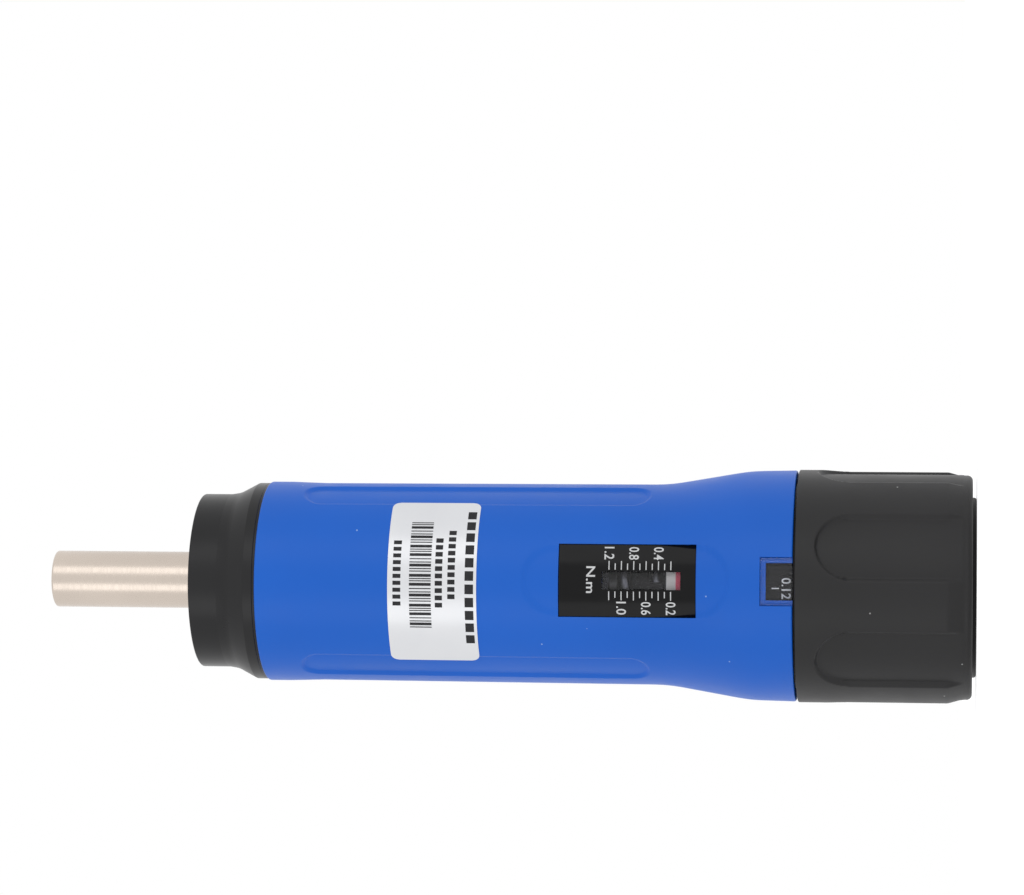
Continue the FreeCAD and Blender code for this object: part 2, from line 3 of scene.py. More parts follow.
import bmesh
import bpy
import numpy as np
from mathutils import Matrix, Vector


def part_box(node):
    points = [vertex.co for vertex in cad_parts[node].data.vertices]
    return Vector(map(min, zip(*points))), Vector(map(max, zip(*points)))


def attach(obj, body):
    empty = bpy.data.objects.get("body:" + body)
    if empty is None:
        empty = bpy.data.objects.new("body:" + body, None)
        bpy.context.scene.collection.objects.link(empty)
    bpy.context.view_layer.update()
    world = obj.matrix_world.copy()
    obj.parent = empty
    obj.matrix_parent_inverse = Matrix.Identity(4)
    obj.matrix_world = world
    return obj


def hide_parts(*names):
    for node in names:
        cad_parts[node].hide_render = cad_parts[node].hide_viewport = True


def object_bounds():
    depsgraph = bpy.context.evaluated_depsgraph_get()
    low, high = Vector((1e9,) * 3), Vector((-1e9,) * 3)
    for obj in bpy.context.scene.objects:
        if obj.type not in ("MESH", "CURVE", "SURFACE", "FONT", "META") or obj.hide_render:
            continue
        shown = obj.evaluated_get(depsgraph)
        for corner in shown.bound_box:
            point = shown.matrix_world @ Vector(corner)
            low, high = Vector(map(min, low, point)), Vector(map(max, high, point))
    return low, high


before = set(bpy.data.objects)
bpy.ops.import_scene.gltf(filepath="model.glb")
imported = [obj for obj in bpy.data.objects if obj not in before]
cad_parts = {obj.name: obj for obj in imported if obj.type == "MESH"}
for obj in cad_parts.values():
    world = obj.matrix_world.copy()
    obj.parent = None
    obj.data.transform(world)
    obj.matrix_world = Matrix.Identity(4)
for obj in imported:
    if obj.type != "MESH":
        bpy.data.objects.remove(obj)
cad_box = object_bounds()


# ---------------------------------------------------------------- bit holder
# A turned steel shank with a hexagonal socket broached into its end and a magnet at the socket's
# bottom. It runs in the collar's bush; the clutch cam sits on its rear journal. Bare satin steel.
MM = 0.001
TOOL_LENGTH = cad_box[1].z / MM
SHANK_RADIUS = 4.35
JOURNAL_RADIUS = 4.0
PILOT_RADIUS = 3.0
SOCKET_HALF_WIDTH = 3.2
SOCKET_DEPTH = 14.0
MAGNET_RADIUS = 2.5
MAGNET_LENGTH = 3.0
JOURNAL_STEP = 0.3
COLLAR_FRONT = 23.4
HOLDER_COLUMNS = 144


def outline(corners, arc_step=10):
    """Points along (x, radius, rounding) corners. A rounded corner is left and joined a distance
    rounding * tan(turn / 2) away, and in between runs first + r sin(s) along + r (1 - cos(s)) across."""
    places = np.array(corners, float)
    line = [places[0, :2]]
    for before, here, after in zip(places, places[1:], places[2:]):
        along = (here[:2] - before[:2]) / np.linalg.norm(here[:2] - before[:2])
        onward = (after[:2] - here[:2]) / np.linalg.norm(after[:2] - here[:2])
        turn = math.acos(max(-1.0, min(1.0, along @ onward)))
        if here[2] == 0 or turn < 1e-6:
            line.append(here[:2])
            continue
        across = onward - along * (along @ onward)
        across = across / np.linalg.norm(across)
        steps = max(2, math.ceil(math.degrees(turn) / arc_step)) + 1
        sweep = np.linspace(0, turn, steps)[:, None]
        first = here[:2] - along * here[2] * math.tan(turn / 2)
        line.extend(first + along * here[2] * np.sin(sweep) + across * here[2] * (1 - np.cos(sweep)))
    line.append(places[-1, :2])
    return np.array(line)


def stretch(node):
    """Where a CAD node begins and ends along the tool, in millimetres from the bit socket's mouth."""
    low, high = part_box(node)
    return TOOL_LENGTH - high.z / MM, TOOL_LENGTH - low.z / MM


def piece(name, points, faces, crease=32):
    """Mesh object from points in millimetres, drawn with x along the tool from the socket's mouth and the
    scale window straight up, and stood on its end cap as (y, -z, length - x). Doubles are merged and
    faces turned outwards; edges past the crease stay sharp."""
    x, y, z = np.asarray(points, float).reshape(-1, 3).T
    stood = np.stack([y, -z, TOOL_LENGTH - x], 1) * MM
    mesh = bpy.data.meshes.new(name)
    faces = faces.tolist() if isinstance(faces, np.ndarray) else faces
    mesh.from_pydata(stood.tolist(), [], faces)
    work = bmesh.new()
    work.from_mesh(mesh)
    bmesh.ops.remove_doubles(work, verts=work.verts, dist=2e-7)
    bmesh.ops.recalc_face_normals(work, faces=work.faces)
    work.to_mesh(mesh)
    work.free()
    mesh.shade_smooth()
    mesh.set_sharp_from_angle(angle=math.radians(crease))
    made = bpy.data.objects.new(name, mesh)
    bpy.context.scene.collection.objects.link(made)
    return made


def grid_faces(rows, columns, wrap_rows=True, wrap_columns=True):
    """Quads between neighbouring rows and columns of a grid, each direction joined end to start or not."""
    index = np.arange(rows * columns).reshape(rows, columns)
    up = np.roll(index, -1, 0)
    right = np.roll(index, -1, 1)
    diagonal = np.roll(up, -1, 1)
    quads = np.stack([index, up, diagonal, right], -1)
    quads = quads[: rows if wrap_rows else rows - 1, : columns if wrap_columns else columns - 1]
    return quads.reshape(-1, 4)


def rings(name, x, radius, angles, crease=32):
    """Closed surface of rings round the axis: ring i stands at x[i] and reaches radius[i, j] at angle j,
    counted from the scale window towards +Y. The last ring is joined to the first."""
    x, radius, angles = np.broadcast_arrays(np.asarray(x)[:, None], radius, np.asarray(angles)[None, :])
    points = np.stack([x, radius * np.sin(angles), radius * np.cos(angles)], -1)
    return piece(name, points, grid_faces(*x.shape), crease)


def full_turn(count):
    return np.arange(count) * 2 * math.pi / count


def turned(name, corners, count=144, crease=32):
    """Solid of revolution from a closed line of corners."""
    line = outline(list(corners) + [corners[0]])
    return rings(name, line[:, 0], np.repeat(line[:, 1:], count, 1), full_turn(count), crease)


def hexagon_reach(angles, half_width):
    """Distance from the axis to a hexagon's side, with one side towards the window: half width divided
    by the cosine of the angle from the side's middle."""
    return half_width / np.cos((angles + math.pi / 6) % (math.pi / 3) - math.pi / 6)


def new_material(name):
    """Empty node material with its Principled shader and Object coordinates."""
    material = bpy.data.materials.new(name)
    material.use_nodes = True
    tree = material.node_tree
    coords = tree.nodes.new("ShaderNodeTexCoord")
    return material, tree.nodes, tree.links, tree.nodes["Principled BSDF"], coords


def noise(nodes, links, coords, scale, detail=3, roughness=0.5):
    """Noise over Object coordinates; scale is (x, y, z) cells per metre."""
    mapping = nodes.new("ShaderNodeMapping")
    mapping.inputs["Scale"].default_value = scale
    links.new(coords.outputs["Object"], mapping.inputs["Vector"])
    texture = nodes.new("ShaderNodeTexNoise")
    texture.inputs["Scale"].default_value = 1
    texture.inputs["Detail"].default_value = detail
    texture.inputs["Roughness"].default_value = roughness
    links.new(mapping.outputs["Vector"], texture.inputs["Vector"])
    return texture.outputs["Fac"]


def spread(nodes, links, value, low, high):
    """A noise value of about 0.3 to 0.7 stretched to run from low to high."""
    scaled = nodes.new("ShaderNodeMapRange")
    scaled.inputs["From Min"].default_value = 0.3
    scaled.inputs["From Max"].default_value = 0.7
    scaled.inputs["To Min"].default_value = low
    scaled.inputs["To Max"].default_value = high
    links.new(value, scaled.inputs["Value"])
    return scaled.outputs["Result"]


def blend_colours(nodes, links, value, first, second):
    mixed = nodes.new("ShaderNodeMix")
    mixed.data_type = "RGBA"
    mixed.inputs["A"].default_value = (*first, 1)
    mixed.inputs["B"].default_value = (*second, 1)
    links.new(value, mixed.inputs["Factor"])
    return mixed.outputs["Result"]


def raised(nodes, links, shader, height, distance):
    """Bump from a height value; distance is its full depth in metres."""
    bump = nodes.new("ShaderNodeBump")
    bump.inputs["Strength"].default_value = 1
    bump.inputs["Distance"].default_value = distance
    links.new(height, bump.inputs["Height"])
    links.new(bump.outputs["Normal"], shader.inputs["Normal"])


def machined(name, colour, roughness, lay=(300, 300, 9000), cut=2e-6):
    """Turned metal: fine lines round the axis from stretched noise, and slow changes of tone."""
    material, nodes, links, shader, coords = new_material(name)
    dark = tuple(0.9 * part for part in colour)
    tone = spread(nodes, links, noise(nodes, links, coords, (90, 90, 60)), 0, 1)
    links.new(blend_colours(nodes, links, tone, dark, colour), shader.inputs["Base Color"])
    lines = noise(nodes, links, coords, lay, 2)
    links.new(spread(nodes, links, lines, roughness * 0.85, roughness * 1.15), shader.inputs["Roughness"])
    raised(nodes, links, shader, lines, cut)
    shader.inputs["Metallic"].default_value = 1
    return material


def dress(node, material):
    """Gives a CAD node its material."""
    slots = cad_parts[node].data.materials
    slots.clear()
    slots.append(material)


def fit_out(made, body, material, slot, *replaced):
    """Material, body, record slot (not used) and replaced CAD nodes of a finished piece."""
    made.data.materials.clear()
    made.data.materials.append(material)
    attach(made, body)
    if replaced:
        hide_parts(*replaced)


cam_rear = stretch("clutch_cam")[1]
holder_rear = stretch("bit_holder")[1]
socket_mouth = SOCKET_HALF_WIDTH / math.cos(math.pi / 6)
holder_line = outline([
    (SOCKET_DEPTH + MAGNET_LENGTH, 0, 0),
    (SOCKET_DEPTH + MAGNET_LENGTH, MAGNET_RADIUS, 0),
    (SOCKET_DEPTH, MAGNET_RADIUS, 0),
    (SOCKET_DEPTH, SOCKET_HALF_WIDTH, 0),
    (0.4, SOCKET_HALF_WIDTH, 0),
    (0, socket_mouth, 0),
    (0, SHANK_RADIUS, 0.35),
    (COLLAR_FRONT - JOURNAL_STEP, SHANK_RADIUS, 0),
    (COLLAR_FRONT - JOURNAL_STEP, JOURNAL_RADIUS, 0),
    (cam_rear, JOURNAL_RADIUS, 0),
    (cam_rear, PILOT_RADIUS, 0),
    (holder_rear, PILOT_RADIUS, 0.4),
    (holder_rear, 0, 0),
])
holder_angles = full_turn(HOLDER_COLUMNS)
holder_radius = np.repeat(holder_line[:, 1:], HOLDER_COLUMNS, 1)
hexagonal = holder_line[:, 1] == SOCKET_HALF_WIDTH
holder_radius[hexagonal] = hexagon_reach(holder_angles, SOCKET_HALF_WIDTH)
shank_steel = machined("shank_steel", (0.65, 0.57, 0.50), 0.27, (300, 300, 3000), 8e-7)
bit_holder = rings("bit_holder_turned", holder_line[:, 0], holder_radius, holder_angles)
fit_out(bit_holder, "drive_shaft", shank_steel, "shank_steel", "bit_holder")
dress("bit_magnet", machined("magnet_nickel", (0.62, 0.60, 0.56), 0.22, (300, 300, 300)))


# ---------------------------------------------------------------- clutch, springs and screw
# The sealed works: hardened cam, balls and keyed plate, the torque spring with its nut, and the
# left-hand screw in its bulkhead. Ground steel; the spring wire is coloured dark grey and the nut near
# black, as painted shade of the barrel's dark inside; some of the spring shows through the slot under
# the scale.
ground_steel = machined("ground_steel", (0.56, 0.56, 0.57), 0.33, (500, 500, 500), 1e-6)
polished_steel = machined("polished_steel", (0.72, 0.72, 0.73), 0.12, (300, 300, 300), 5e-7)
# Spring wire coloured dark grey: painted shade of the barrel's inside, seen through the slot.
spring_wire_painted_shade = machined("spring_wire_painted_shade", (0.16, 0.16, 0.18), 0.3, (500, 500, 500), 2e-6)
# Nut coloured near black: painted shade of the dark inside under the slot.
dark_nut_painted_shade = machined("dark_nut_painted_shade", (0.035, 0.034, 0.036), 0.35)
sintered_bronze = machined("sintered_bronze", (0.42, 0.27, 0.14), 0.5, (2500, 2500, 2500), 8e-6)
for node in ("clutch_cam", "cam_pin", "thrust_washer", "clutch_plate", "spring_seat", "adjusting_screw",
             "screw_washer", "bulkhead_pins", "knob_washer", "knob_screw"):
    dress(node, ground_steel)
dress("clutch_balls", polished_steel)
for node in ("main_spring", "lock_spring", "retaining_ring"):
    dress(node, spring_wire_painted_shade)
dress("spring_nut", dark_nut_painted_shade)
dress("front_bush", sintered_bronze)


# ---------------------------------------------------------------- barrel
# A tube of black anodised aluminium inside the grip, with keyways for the clutch plate and a slot that
# the indicator flag runs in. The bulkhead that closes its rear end is anodised too.
black_anodised = machined("black_anodised", (0.022, 0.022, 0.026), 0.42)
dress("barrel", black_anodised)
dress("rear_bulkhead", black_anodised)


# ---------------------------------------------------------------- front collar
# The black collar in front of the grip: turned, with a straight nose, a cone that starts hollow, and a
# narrow rim with a bright edge. It screws into the barrel and holds the grip on. Satin black.
COLLAR_NOSE_RADIUS = 13.34
COLLAR_NOSE_LENGTH = 4.3
COLLAR_NOSE_WALL = 0.8
CONE_LENGTH = 4.4
COLLAR_RIM_RADIUS = 15.1
RIM_STEP = 0.1
JOURNAL_CLEARANCE = 0.1
BUSH_RADIUS = 5.65
BUSH_FLANGE_RADIUS = 8.0
BUSH_FLANGE = 1.5
GRIP_FRONT = stretch("grip")[0]
SPIGOT_END = stretch("front_collar")[1]
BARREL_BORE = 11.2
cone_front = COLLAR_FRONT + COLLAR_NOSE_LENGTH
rim_front = cone_front + CONE_LENGTH


def coated(name, colour, roughness, grain, depth):
    """Thin even coating or moulded skin: fine isotropic grain and slow changes of gloss."""
    material, nodes, links, shader, coords = new_material(name)
    light = tuple(min(1, 1.25 * part + 0.002) for part in colour)
    tone = spread(nodes, links, noise(nodes, links, coords, (45, 45, 45), 4), 0, 1)
    links.new(blend_colours(nodes, links, tone, colour, light), shader.inputs["Base Color"])
    gloss = noise(nodes, links, coords, (110, 110, 110), 5)
    links.new(spread(nodes, links, gloss, roughness * 0.9, roughness * 1.12), shader.inputs["Roughness"])
    raised(nodes, links, shader, noise(nodes, links, coords, (grain, grain, grain), 4, 0.6), depth)
    shader.inputs["Specular IOR Level"].default_value = 0.25
    return material


collar_line = [
    (COLLAR_FRONT, JOURNAL_RADIUS + JOURNAL_CLEARANCE, 0),
    (COLLAR_FRONT, COLLAR_NOSE_RADIUS, 0.25),
    (cone_front, COLLAR_NOSE_RADIUS, 0.3),
    (cone_front + CONE_LENGTH * 0.35, COLLAR_NOSE_RADIUS + 0.25, 3.0),
    (rim_front, COLLAR_RIM_RADIUS, 0.35),
    (GRIP_FRONT - 0.45, COLLAR_RIM_RADIUS, 0),
    (GRIP_FRONT - 0.35, COLLAR_RIM_RADIUS - RIM_STEP, 0),
    (GRIP_FRONT, COLLAR_RIM_RADIUS - RIM_STEP, 0),
    (GRIP_FRONT, BARREL_BORE, 0),
    (SPIGOT_END, BARREL_BORE, 0),
    (SPIGOT_END, BUSH_FLANGE_RADIUS, 0),
    (SPIGOT_END - BUSH_FLANGE, BUSH_FLANGE_RADIUS, 0),
    (SPIGOT_END - BUSH_FLANGE, BUSH_RADIUS, 0),
    (COLLAR_FRONT + COLLAR_NOSE_WALL, BUSH_RADIUS, 0),
    (COLLAR_FRONT + COLLAR_NOSE_WALL, JOURNAL_RADIUS + JOURNAL_CLEARANCE, 0),
]
collar_black = coated("collar_black", (0.012, 0.012, 0.013), 0.30, 1100, 2e-6)
front_collar = turned("front_collar_turned", collar_line, 216)
fit_out(front_collar, "handle", collar_black, "collar_black", "front_collar")


# ---------------------------------------------------------------- grip
# The blue sleeve, moulded in one piece: a slight lip in front, a long waist with five shallow finger
# grooves, a flare towards the knob, a shallow dish round the scale and a notch at the rear edge for the
# dial's window. Satin blue plastic.
GRIP_REAR = stretch("grip")[1]
LIP_RADIUS = 15.32
WAIST_RADIUS = 15.15
FLARE_FRONT, FLARE_FRONT_RADIUS = 95.6, 15.27
FLARE_REAR, FLARE_REAR_RADIUS = 108.0, 17.4
GRIP_REAR_RADIUS = 17.54
BARREL_RADIUS = 12.9
CAVITY_RADIUS = 16.0
CAVITY_FRONT = stretch("barrel")[1] + 0.6
GROOVE_FRONT, GROOVE_REAR = 40.0, 93.4
GROOVE_HALF_WIDTH = 3.05
GROOVE_DEPTH = 0.45
GROOVE_EASE = 0.75
DISH_FRONT, DISH_REAR = 74.2, 105.6
DISH_DEPTH = 0.25
DISH_FRONT_EASE, DISH_REAR_EASE = 1.1, 0.25
PLATE_FRONT, PLATE_REAR = stretch("scale_plate")
PLATE_HALF_WIDTH = 5.35
PLATE_TOP = 15.1
PLATE_BOTTOM = 14.1
LENS_FRONT = stretch("dial_lens")[0]
LENS_HALF_WIDTH = 3.5
LENS_BOTTOM = 16.7
LENS_TOP = 17.4
LENS_LEDGE = 0.75
SEAM = 0.12
CUTTER_TOP = 19

grip_line = outline([
    (GRIP_FRONT, 15.02, 0),
    (GRIP_FRONT, LIP_RADIUS, 0.25),
    (GRIP_FRONT + 3.4, LIP_RADIUS, 6.0),
    (GRIP_FRONT + 8.5, WAIST_RADIUS, 30.0),
    (FLARE_FRONT, FLARE_FRONT_RADIUS, 25.0),
    (FLARE_REAR, FLARE_REAR_RADIUS, 25.0),
    (GRIP_REAR, GRIP_REAR_RADIUS, 0.3),
    (GRIP_REAR, 17.2, 0),
], 4)


def grip_radius(x):
    return np.interp(x, grip_line[1:-1, 0], grip_line[1:-1, 1])


def racetrack_depth(x, across, front, rear, half_width, softness):
    """0 outside and 1 inside a straight-sided patch with round ends, over a soft edge: the distance
    inwards is half width - distance to the patch's middle line, eased by 3 t^2 - 2 t^3."""
    past = np.maximum(np.maximum(front + half_width - x, x - (rear - half_width)), 0)
    inwards = (half_width - np.hypot(past, across)) / softness
    t = np.clip(inwards, 0, 1)
    return t * t * (3 - 2 * t)


def stations(*stretches):
    """Sorted places from (start, end, step) stretches."""
    return np.unique(np.concatenate([
        np.linspace(start, end, max(2, round((end - start) / step) + 1)) for start, end, step in stretches
    ]).round(4))


skin_x = stations((GRIP_FRONT + 0.3, 39.8, 0.5), (39.8, 43.6, 0.16), (43.6, 73.8, 1.2), (73.8, 80.6, 0.2),
                  (80.6, 89.8, 0.7), (89.8, 93.6, 0.16), (93.6, 99.6, 0.3), (99.6, 106.0, 0.2),
                  (106.0, GRIP_REAR - 0.35, 0.5))
skin_degrees = stations((-30, -19, 0.55), (-19, 19, 2.0), (19, 30, 0.55), *[
    stretch for k in range(1, 6) for stretch in (
        (60 * k - 30, 60 * k - 12.5, 2.2), (60 * k - 12.5, 60 * k - 8, 0.5), (60 * k - 8, 60 * k + 8, 1.0),
        (60 * k + 8, 60 * k + 12.5, 0.5), (60 * k + 12.5, 60 * k + 30, 2.2))])
skin_angles = np.radians(skin_degrees[:-1])
front_edge = grip_line[grip_line[:, 0] < GRIP_FRONT + 0.3]
rear_edge = grip_line[grip_line[:, 0] > GRIP_REAR - 0.35]
skin_radius = np.repeat(grip_radius(skin_x)[:, None], len(skin_angles), 1)
sunk = np.zeros_like(skin_radius)
for k in range(1, 6):
    off = skin_angles[None, :] - math.radians(60 * k)
    across = np.where(np.cos(off) > 0, skin_radius * np.sin(off), 99)
    sunk = np.maximum(sunk, GROOVE_DEPTH * racetrack_depth(
        skin_x[:, None], across, GROOVE_FRONT, GROOVE_REAR, GROOVE_HALF_WIDTH, GROOVE_EASE))
across = np.where(np.cos(skin_angles)[None, :] > 0, skin_radius * np.sin(skin_angles)[None, :], 99)
ease = np.interp(skin_x, [PLATE_FRONT, PLATE_REAR], [DISH_FRONT_EASE, DISH_REAR_EASE])[:, None]
sunk = np.maximum(sunk, DISH_DEPTH * racetrack_depth(
    skin_x[:, None], across, DISH_FRONT, DISH_REAR, PLATE_HALF_WIDTH + 0.1, ease))
inside = np.array([
    (GRIP_REAR, CAVITY_RADIUS), (CAVITY_FRONT, CAVITY_RADIUS), (CAVITY_FRONT, BARREL_RADIUS),
    (GRIP_FRONT, BARREL_RADIUS)])
whole_x = np.concatenate([front_edge[:, 0], skin_x, rear_edge[:, 0], inside[:, 0]])
whole_radius = np.concatenate([
    np.repeat(front_edge[:, 1:], len(skin_angles), 1), skin_radius - sunk,
    np.repeat(rear_edge[:, 1:], len(skin_angles), 1), np.repeat(inside[:, 1:], len(skin_angles), 1)])
grip = rings("grip_moulded", whole_x, whole_radius, skin_angles, 40)


def curved_block(name, front, rear, half_width, bottom, top, steps=16):
    """Closed block over the window: its section runs along radius bottom and back along radius top,
    with sides that stand straight up, and is carried along the axis; the ends are faces."""
    across = np.linspace(-half_width, half_width, steps)
    low = np.stack([across, np.sqrt(bottom ** 2 - across ** 2)], 1)
    high = np.stack([across[::-1], np.sqrt(top ** 2 - across[::-1] ** 2)], 1)
    section = np.concatenate([low, high])
    count = len(section)
    points = np.concatenate([np.column_stack([np.full(count, place), section]) for place in (front, rear)])
    faces = grid_faces(2, count, False, True).tolist()
    faces += [list(range(count)), list(range(count, 2 * count))]
    return piece(name, points, faces)


def cut_out(body, *cutters):
    """Takes the cutters away from a piece and deletes them."""
    for cutter in cutters:
        cut = body.modifiers.new("cut", "BOOLEAN")
        cut.operation = "DIFFERENCE"
        cut.solver = "MANIFOLD"
        cut.object = cutter
    graph = bpy.context.evaluated_depsgraph_get()
    mesh = bpy.data.meshes.new_from_object(body.evaluated_get(graph))
    body.modifiers.clear()
    body.data = mesh
    for cutter in cutters:
        bpy.data.objects.remove(cutter)


flag_front, flag_rear = stretch("indicator_flag")
slot_front, slot_rear = stretch("scale_window")
cut_out(
    grip,
    curved_block("plate_seat", PLATE_FRONT - SEAM, PLATE_REAR + SEAM, PLATE_HALF_WIDTH + SEAM,
                 PLATE_BOTTOM, CUTTER_TOP),
    curved_block("flag_room", slot_front - 0.1, flag_rear + 1.0, 2.6, 11, 15),
    curved_block("lens_seat", LENS_FRONT - SEAM, GRIP_REAR + 2, LENS_HALF_WIDTH + SEAM,
                 LENS_BOTTOM, CUTTER_TOP),
    curved_block("lens_hole", LENS_FRONT + LENS_LEDGE, GRIP_REAR + 2, LENS_HALF_WIDTH - LENS_LEDGE, 15, 17),
)
grip.data.shade_smooth()
grip.data.set_sharp_from_angle(angle=math.radians(35))


def moulded(name, colour, paler, roughness, grain, depth, dust, dust_colour):
    """Moulded plastic: a fine spark grain, clouds of tone, and a few pale specks of dust where the
    cells of a Voronoi pattern that chance has marked have their middles."""
    material, nodes, links, shader, coords = new_material(name)
    clouds = spread(nodes, links, noise(nodes, links, coords, (30, 30, 30), 4), 0, 1)
    tone = blend_colours(nodes, links, clouds, colour, paler)
    cells = nodes.new("ShaderNodeTexVoronoi")
    cells.inputs["Scale"].default_value = 420
    links.new(coords.outputs["Object"], cells.inputs["Vector"])
    near = nodes.new("ShaderNodeMath")
    near.operation = "LESS_THAN"
    near.inputs[1].default_value = 0.055
    links.new(cells.outputs["Distance"], near.inputs[0])
    chosen = nodes.new("ShaderNodeSeparateColor")
    links.new(cells.outputs["Color"], chosen.inputs["Color"])
    rare = nodes.new("ShaderNodeMath")
    rare.operation = "LESS_THAN"
    rare.inputs[1].default_value = dust
    links.new(chosen.outputs["Red"], rare.inputs[0])
    speck = nodes.new("ShaderNodeMath")
    speck.operation = "MULTIPLY"
    links.new(near.outputs["Value"], speck.inputs[0])
    links.new(rare.outputs["Value"], speck.inputs[1])
    dusty = nodes.new("ShaderNodeMix")
    dusty.data_type = "RGBA"
    dusty.inputs["B"].default_value = (*dust_colour, 1)
    links.new(tone, dusty.inputs["A"])
    links.new(speck.outputs["Value"], dusty.inputs["Factor"])
    links.new(dusty.outputs["Result"], shader.inputs["Base Color"])
    gloss = noise(nodes, links, coords, (120, 120, 120), 5)
    links.new(spread(nodes, links, gloss, roughness * 0.9, roughness * 1.1), shader.inputs["Roughness"])
    raised(nodes, links, shader, noise(nodes, links, coords, (grain, grain, grain), 5, 0.65), depth)
    shader.inputs["Specular IOR Level"].default_value = 0.3
    return material


grip_blue = moulded("grip_blue", (0.004, 0.119, 0.60), (0.006, 0.134, 0.66), 0.42, 500, 4e-6, 0.06,
                    (0.25, 0.4, 0.75))
fit_out(grip, "handle", grip_blue, "grip_blue", "grip")


# ---------------------------------------------------------------- label
# A sticker of silver film with rounded corners, wrapped over the front of the grip. Its print is
# generic: a row of blocks, two rows of short bars, a field of stripes and one more row.
LABEL_FRONT, LABEL_REAR = stretch("label")
LABEL_CENTRE = math.radians(-1.2)
LABEL_HALF_ANGLE = math.radians(50.9)
LABEL_THICKNESS = 0.1
LABEL_CORNER = 1.2


def wrapped_sheet(name, x, along, lift, thickness, centre):
    """Sheet wrapped round the grip: point (i, j) lies at x[i, j] and at arc length along[i] from the
    centre angle, lifted off the grip's surface; a lower copy, thickness beneath it, closes it."""
    along = np.broadcast_to(np.asarray(along)[:, None], x.shape)
    layers = []
    for height in (lift, lift - thickness):
        radius = grip_radius(x) + height
        angle = centre + along / grip_radius(x)
        layers.append(np.stack([x, radius * np.sin(angle), radius * np.cos(angle)], -1))
    loops = np.concatenate([layers[0], layers[1][:, ::-1]], 1)
    rows, columns = loops.shape[:2]
    faces = grid_faces(rows, columns, False, True).tolist()
    half = columns // 2
    for start in (0, (rows - 1) * columns):
        faces += [
            [start + k, start + k + 1, start + columns - 2 - k, start + columns - 1 - k]
            for k in range(half - 1)
        ]
    return piece(name, loops, faces)


label_reach = LABEL_HALF_ANGLE * grip_radius(60.0)
label_along = stations(
    (-label_reach, -label_reach + LABEL_CORNER, 0.1),
    (-label_reach + LABEL_CORNER, label_reach - LABEL_CORNER, 0.6),
    (label_reach - LABEL_CORNER, label_reach, 0.1),
)
from_end = np.clip(LABEL_CORNER - (label_reach - np.abs(label_along)), 0, LABEL_CORNER)
label_half = (LABEL_REAR - LABEL_FRONT) / 2 - LABEL_CORNER + np.sqrt(LABEL_CORNER ** 2 - from_end ** 2)
label_x = (LABEL_FRONT + LABEL_REAR) / 2 + label_half[:, None] * np.linspace(-1, 1, 13)[None, :]
label = wrapped_sheet("label_film", label_x, label_along, LABEL_THICKNESS, LABEL_THICKNESS - 0.01,
                      LABEL_CENTRE)

film, film_nodes, film_links, film_shader, film_coords = new_material("label_silver")
film_noise = noise(film_nodes, film_links, film_coords, (50, 50, 50), 3)
film_cloud = spread(film_nodes, film_links, film_noise, 0, 1)
film_links.new(blend_colours(film_nodes, film_links, film_cloud, (0.76, 0.77, 0.80), (0.84, 0.85, 0.87)),
               film_shader.inputs["Base Color"])
film_shader.inputs["Metallic"].default_value = 0.25
film_shader.inputs["Roughness"].default_value = 0.28
fit_out(label, "handle", film, "label_silver", "label")


INK_LIFT = 0.012
INK_THICKNESS = 0.008


def printed_bars(name, bars, surface, centre):
    """Ink bars as thin closed slabs on a curved surface, joined in one mesh. Each bar is (front, rear,
    start, end) in millimetres along the axis and round it; surface gives the radius there."""
    points = []
    faces = []
    for front, rear, start, end in bars:
        steps = max(2, math.ceil(abs(end - start) / 0.5) + 1)
        around = np.linspace(start, end, steps)
        x = np.array([front, rear, rear, front])
        radius = surface(x) + INK_LIFT - np.array([0, 0, INK_THICKNESS, INK_THICKNESS])
        angle = centre + around[:, None] / surface(x)[None, :]
        along = np.broadcast_to(x, angle.shape)
        block = np.stack([along, radius * np.sin(angle), radius * np.cos(angle)], -1)
        base = sum(len(part) for part in points)
        faces += (grid_faces(steps, 4, False, True) + base).tolist()
        faces += [[base, base + 1, base + 2, base + 3], [base + 4 * steps - 4 + k for k in range(4)]]
        points.append(block.reshape(-1, 3))
    return piece(name, np.concatenate(points), faces)


def label_surface(x):
    return grip_radius(x) + LABEL_THICKNESS


def dashes(front, rear, start, end, width, gap):
    """A row of bars from start towards end, each width long."""
    count = int(abs(end - start) // (width + gap))
    step = math.copysign(width + gap, end - start)
    reach = math.copysign(width, step)
    return [(front, rear, start + k * step, start + k * step + reach) for k in range(count)]


STRIPE_WIDTHS = (0.16, 0.30, 0.44)
STRIPE_GAPS = (0.18, 0.34, 0.22)
STRIPES_START = 9.4
stripes = []
edge = STRIPES_START
for k in range(34):
    wide = STRIPE_WIDTHS[(k * k + 2 * k) % 3]
    stripes.append((57.6, 60.9, edge, edge - wide))
    edge -= wide + STRIPE_GAPS[(k * 5 + k // 3) % 3]
label_ink, ink_nodes, ink_links, ink_shader, ink_coords = new_material("label_ink")
ink_links.new(blend_colours(ink_nodes, ink_links, noise(ink_nodes, ink_links, ink_coords, (900, 900, 900)),
                            (0.006, 0.006, 0.007), (0.03, 0.03, 0.034)), ink_shader.inputs["Base Color"])
ink_shader.inputs["Roughness"].default_value = 0.45
ink_shader.inputs["Specular IOR Level"].default_value = 0.25
label_rows = (
    dashes(55.1, 56.3, 6.2, -4.8, 0.62, 0.42)
    + stripes
    + dashes(61.5, 62.6, 6.6, -4.6, 0.72, 0.38)
    + dashes(63.4, 64.5, 7.9, -4.0, 0.72, 0.38)
    + dashes(66.0, 67.3, 11.5, -11.3, 1.45, 0.55)
)
label_print = printed_bars("label_print", label_rows, label_surface, LABEL_CENTRE)
fit_out(label_print, "handle", label_ink, "label_silver")


